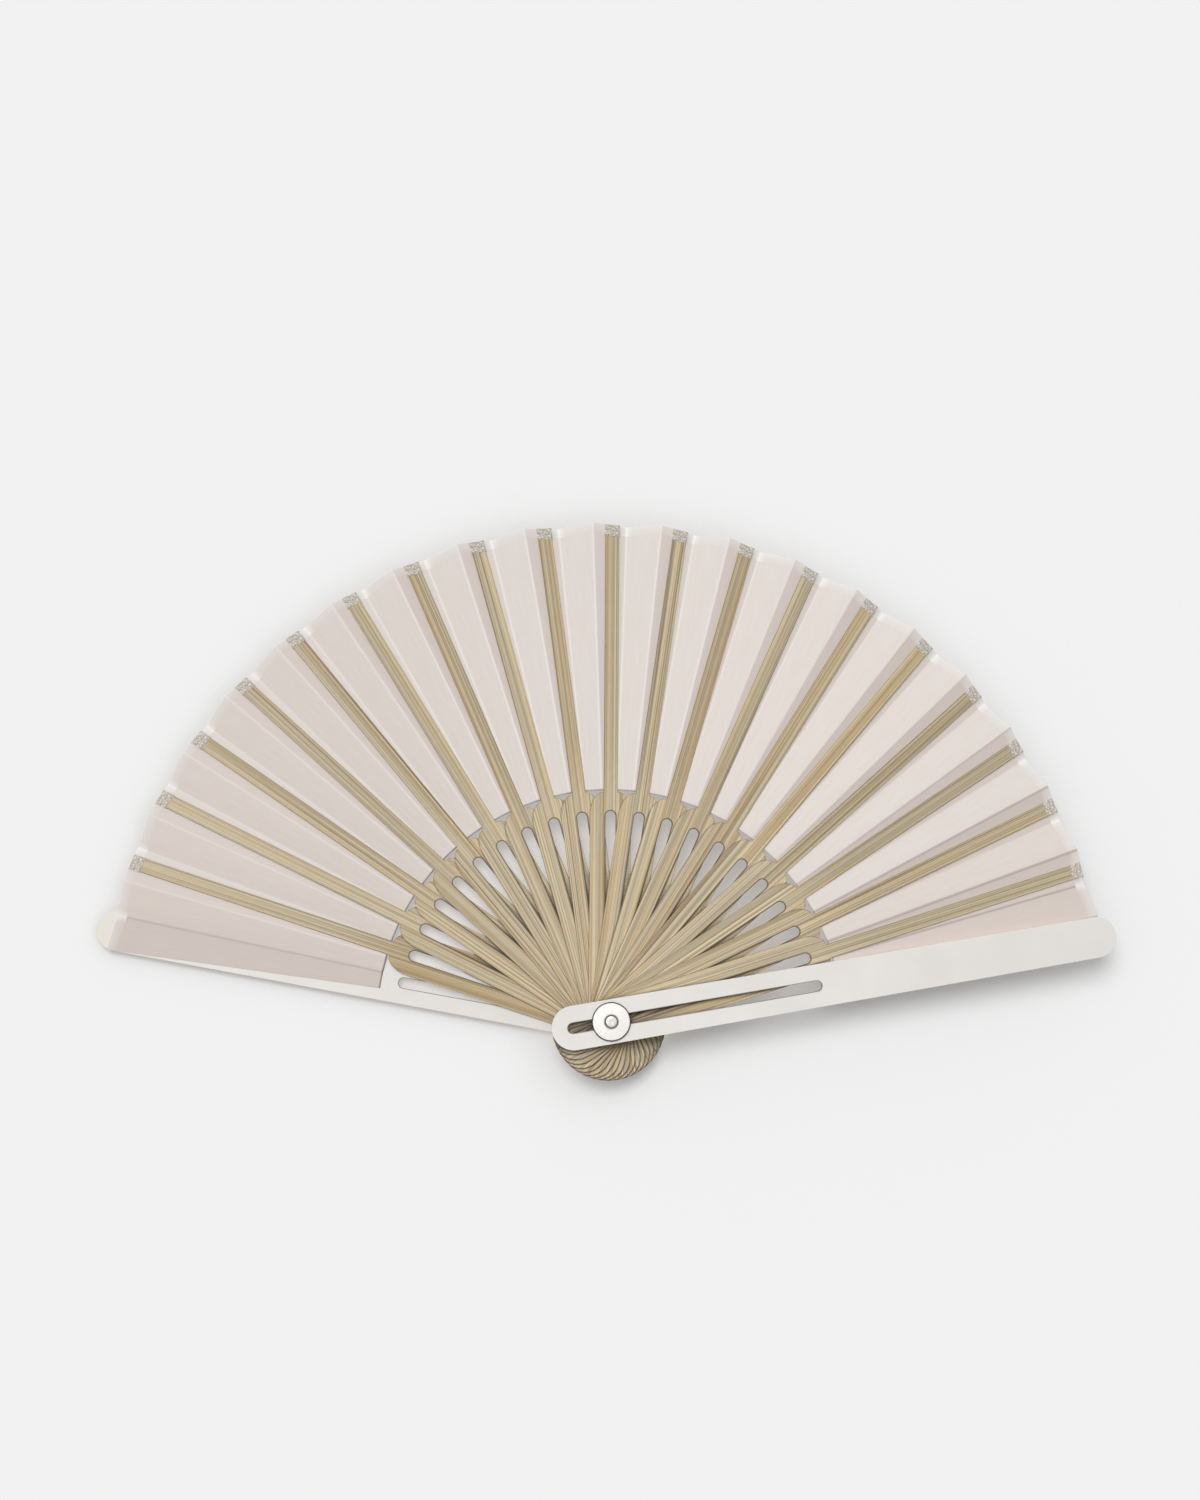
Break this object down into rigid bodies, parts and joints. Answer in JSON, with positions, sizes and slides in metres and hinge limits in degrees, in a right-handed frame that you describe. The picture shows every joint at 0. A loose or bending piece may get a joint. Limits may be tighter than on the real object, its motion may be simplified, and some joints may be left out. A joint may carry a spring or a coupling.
{
  "type": "folding fan",
  "caption": "Folding hand fan with slotted bamboo sticks, two lacquered guards on a washered rivet, and a pleated cloth leaf; spreads and closes about the rivet.",
  "frame": {"origin": "centre of the rear rivet head's outer face, on the axis that every stick turns about", "axes": "+Z along the rivet from the rear guard to the front guard, +Y along the middle stick of the open fan, +X towards the front guard"},
  "size_m": [0.4068, 0.2238, 0.024],
  "materials": {
    "lacquer": "white satin lacquer over wood",
    "bamboo": "satin split bamboo with fine lengthwise grain",
    "cloth": "matt pale pink cloth, pleated",
    "rivet_steel": "satin",
    "washer_steel": "satin, lightly speckled"
  },
  "bodies": {
    "rear_guard": {"rear_guard": "lacquer", "leaf_00": "cloth", "rivet": "rivet_steel", "rear_washer": "washer_steel", "front_washer": "washer_steel"},
    "stick_01": {"stick_01": "bamboo", "leaf_01": "cloth"},
    "stick_02": {"stick_02": "bamboo", "leaf_02": "cloth"},
    "stick_03": {"stick_03": "bamboo", "leaf_03": "cloth"},
    "stick_04": {"stick_04": "bamboo", "leaf_04": "cloth"},
    "stick_05": {"stick_05": "bamboo", "leaf_05": "cloth"},
    "stick_06": {"stick_06": "bamboo", "leaf_06": "cloth"},
    "stick_07": {"stick_07": "bamboo", "leaf_07": "cloth"},
    "stick_08": {"stick_08": "bamboo", "leaf_08": "cloth"},
    "stick_09": {"stick_09": "bamboo", "leaf_09": "cloth"},
    "stick_10": {"stick_10": "bamboo", "leaf_10": "cloth"},
    "stick_11": {"stick_11": "bamboo", "leaf_11": "cloth"},
    "stick_12": {"stick_12": "bamboo", "leaf_12": "cloth"},
    "stick_13": {"stick_13": "bamboo", "leaf_13": "cloth"},
    "stick_14": {"stick_14": "bamboo", "leaf_14": "cloth"},
    "stick_15": {"stick_15": "bamboo", "leaf_15": "cloth"},
    "stick_16": {"stick_16": "bamboo", "leaf_16": "cloth"},
    "stick_17": {"stick_17": "bamboo", "leaf_17": "cloth"},
    "stick_18": {"stick_18": "bamboo", "leaf_18": "cloth"},
    "stick_19": {"stick_19": "bamboo", "leaf_19": "cloth"},
    "front_guard": {"front_guard": "lacquer", "leaf_20": "cloth"}
  },
  "joints": [
    {"name": "fold_01", "type": "hinge", "parent": "rear_guard", "child": "stick_01", "pos_m": [0, 0, 0], "axis": [0, 0, 1], "range_deg": [0, 8], "deforming": ["leaf_01"]},
    {"name": "fold_02", "type": "hinge", "parent": "stick_01", "child": "stick_02", "pos_m": [0, 0, 0], "axis": [0, 0, 1], "range_deg": [0, 8], "deforming": ["leaf_02"]},
    {"name": "fold_03", "type": "hinge", "parent": "stick_02", "child": "stick_03", "pos_m": [0, 0, 0], "axis": [0, 0, 1], "range_deg": [0, 8], "deforming": ["leaf_03"]},
    {"name": "fold_04", "type": "hinge", "parent": "stick_03", "child": "stick_04", "pos_m": [0, 0, 0], "axis": [0, 0, 1], "range_deg": [0, 8], "deforming": ["leaf_04"]},
    {"name": "fold_05", "type": "hinge", "parent": "stick_04", "child": "stick_05", "pos_m": [0, 0, 0], "axis": [0, 0, 1], "range_deg": [0, 8], "deforming": ["leaf_05"]},
    {"name": "fold_06", "type": "hinge", "parent": "stick_05", "child": "stick_06", "pos_m": [0, 0, 0], "axis": [0, 0, 1], "range_deg": [0, 8], "deforming": ["leaf_06"]},
    {"name": "fold_07", "type": "hinge", "parent": "stick_06", "child": "stick_07", "pos_m": [0, 0, 0], "axis": [0, 0, 1], "range_deg": [0, 8], "deforming": ["leaf_07"]},
    {"name": "fold_08", "type": "hinge", "parent": "stick_07", "child": "stick_08", "pos_m": [0, 0, 0], "axis": [0, 0, 1], "range_deg": [0, 8], "deforming": ["leaf_08"]},
    {"name": "fold_09", "type": "hinge", "parent": "stick_08", "child": "stick_09", "pos_m": [0, 0, 0], "axis": [0, 0, 1], "range_deg": [0, 8], "deforming": ["leaf_09"]},
    {"name": "fold_10", "type": "hinge", "parent": "stick_09", "child": "stick_10", "pos_m": [0, 0, 0], "axis": [0, 0, 1], "range_deg": [0, 8], "deforming": ["leaf_10"]},
    {"name": "fold_11", "type": "hinge", "parent": "stick_10", "child": "stick_11", "pos_m": [0, 0, 0], "axis": [0, 0, 1], "range_deg": [0, 8], "deforming": ["leaf_11"]},
    {"name": "fold_12", "type": "hinge", "parent": "stick_11", "child": "stick_12", "pos_m": [0, 0, 0], "axis": [0, 0, 1], "range_deg": [0, 8], "deforming": ["leaf_12"]},
    {"name": "fold_13", "type": "hinge", "parent": "stick_12", "child": "stick_13", "pos_m": [0, 0, 0], "axis": [0, 0, 1], "range_deg": [0, 8], "deforming": ["leaf_13"]},
    {"name": "fold_14", "type": "hinge", "parent": "stick_13", "child": "stick_14", "pos_m": [0, 0, 0], "axis": [0, 0, 1], "range_deg": [0, 8], "deforming": ["leaf_14"]},
    {"name": "fold_15", "type": "hinge", "parent": "stick_14", "child": "stick_15", "pos_m": [0, 0, 0], "axis": [0, 0, 1], "range_deg": [0, 8], "deforming": ["leaf_15"]},
    {"name": "fold_16", "type": "hinge", "parent": "stick_15", "child": "stick_16", "pos_m": [0, 0, 0], "axis": [0, 0, 1], "range_deg": [0, 8], "deforming": ["leaf_16"]},
    {"name": "fold_17", "type": "hinge", "parent": "stick_16", "child": "stick_17", "pos_m": [0, 0, 0], "axis": [0, 0, 1], "range_deg": [0, 8], "deforming": ["leaf_17"]},
    {"name": "fold_18", "type": "hinge", "parent": "stick_17", "child": "stick_18", "pos_m": [0, 0, 0], "axis": [0, 0, 1], "range_deg": [0, 8], "deforming": ["leaf_18"]},
    {"name": "fold_19", "type": "hinge", "parent": "stick_18", "child": "stick_19", "pos_m": [0, 0, 0], "axis": [0, 0, 1], "range_deg": [0, 8], "deforming": ["leaf_19"]},
    {"name": "fold_20", "type": "hinge", "parent": "stick_19", "child": "front_guard", "pos_m": [0, 0, 0], "axis": [0, 0, 1], "range_deg": [0, 8], "deforming": ["leaf_20"]}
  ],
  "couplings": [
    {"joint": "fold_02", "follows": "fold_01", "ratio": 1},
    {"joint": "fold_03", "follows": "fold_01", "ratio": 1},
    {"joint": "fold_04", "follows": "fold_01", "ratio": 1},
    {"joint": "fold_05", "follows": "fold_01", "ratio": 1},
    {"joint": "fold_06", "follows": "fold_01", "ratio": 1},
    {"joint": "fold_07", "follows": "fold_01", "ratio": 1},
    {"joint": "fold_08", "follows": "fold_01", "ratio": 1},
    {"joint": "fold_09", "follows": "fold_01", "ratio": 1},
    {"joint": "fold_10", "follows": "fold_01", "ratio": 1},
    {"joint": "fold_11", "follows": "fold_01", "ratio": 1},
    {"joint": "fold_12", "follows": "fold_01", "ratio": 1},
    {"joint": "fold_13", "follows": "fold_01", "ratio": 1},
    {"joint": "fold_14", "follows": "fold_01", "ratio": 1},
    {"joint": "fold_15", "follows": "fold_01", "ratio": 1},
    {"joint": "fold_16", "follows": "fold_01", "ratio": 1},
    {"joint": "fold_17", "follows": "fold_01", "ratio": 1},
    {"joint": "fold_18", "follows": "fold_01", "ratio": 1},
    {"joint": "fold_19", "follows": "fold_01", "ratio": 1},
    {"joint": "fold_20", "follows": "fold_01", "ratio": 1}
  ]
}
